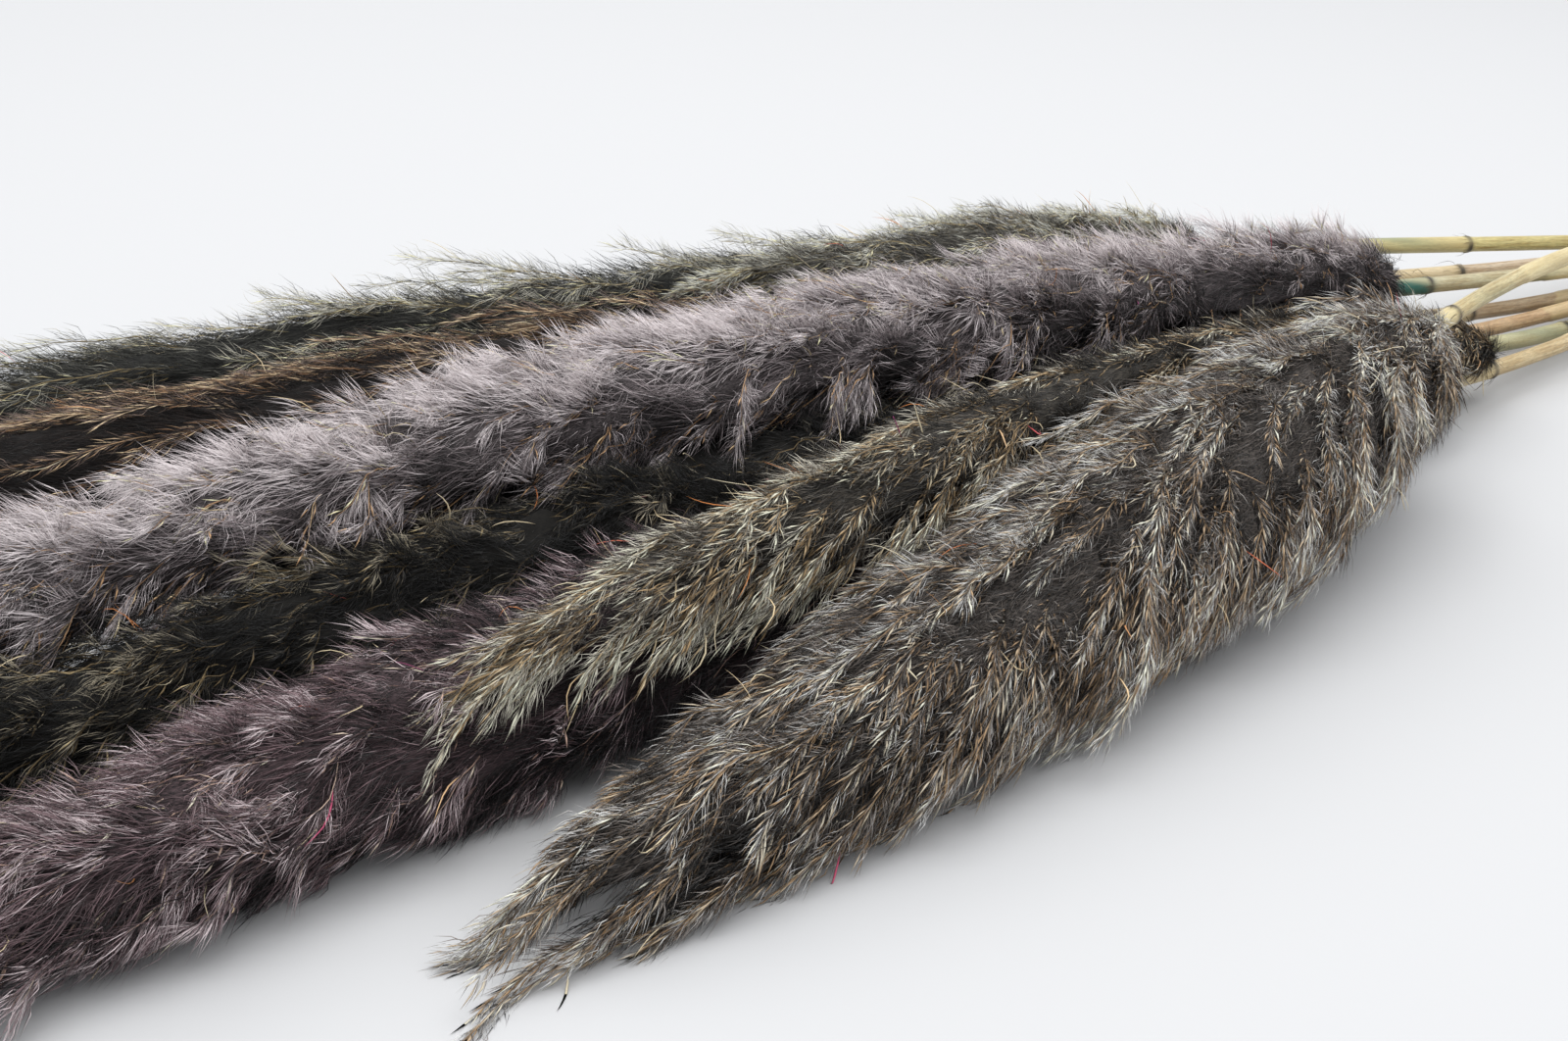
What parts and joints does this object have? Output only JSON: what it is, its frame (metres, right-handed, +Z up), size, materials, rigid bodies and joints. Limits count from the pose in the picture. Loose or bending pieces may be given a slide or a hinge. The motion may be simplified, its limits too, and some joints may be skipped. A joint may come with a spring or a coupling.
{
  "type": "bundle of pampas grass",
  "caption": "Bundle of dried, dark-dyed pampas grass lying on its side: straw stems tied near their cut ends, feathery plumes fanned out over the surface.",
  "frame": {"origin": "centre of the bundle's footprint, on the surface it lies on", "axes": "+X along the bundle from the plume tips to the cut stem ends, +Y across the fan, +Z up"},
  "size_m": [1.2856, 0.4892, 0.0909],
  "materials": {
    "plume_front": "matte dyed fluff, charcoal and straw",
    "plume_left": "matte dyed fluff, grey-mauve",
    "plume_shaded": "matte dyed fluff, charcoal",
    "plume_brown": "matte dyed fluff, dark brown",
    "plume_top": "matte dyed fluff, charcoal-olive",
    "plume_far": "matte dyed fluff, greenish black",
    "plume_slender": "matte dyed fluff, olive and straw",
    "plume_silky": "matte dyed fluff, silky grey-mauve",
    "straw": "satin straw with dye stains and dark nodes",
    "twine": "rough jute twine"
  },
  "bodies": {
    "root": {"stem_front": "straw", "plume_front": "plume_front", "stem_left": "straw", "plume_left": "plume_left", "stem_shaded": "straw", "plume_shaded": "plume_shaded", "stem_brown": "straw", "plume_brown": "plume_brown", "stem_top": "straw", "plume_top": "plume_top", "stem_far": "straw", "plume_far": "plume_far", "stem_slender": "straw", "plume_slender": "plume_slender", "stem_silky": "straw", "plume_silky": "plume_silky", "tie": "twine"}
  },
  "joints": []
}
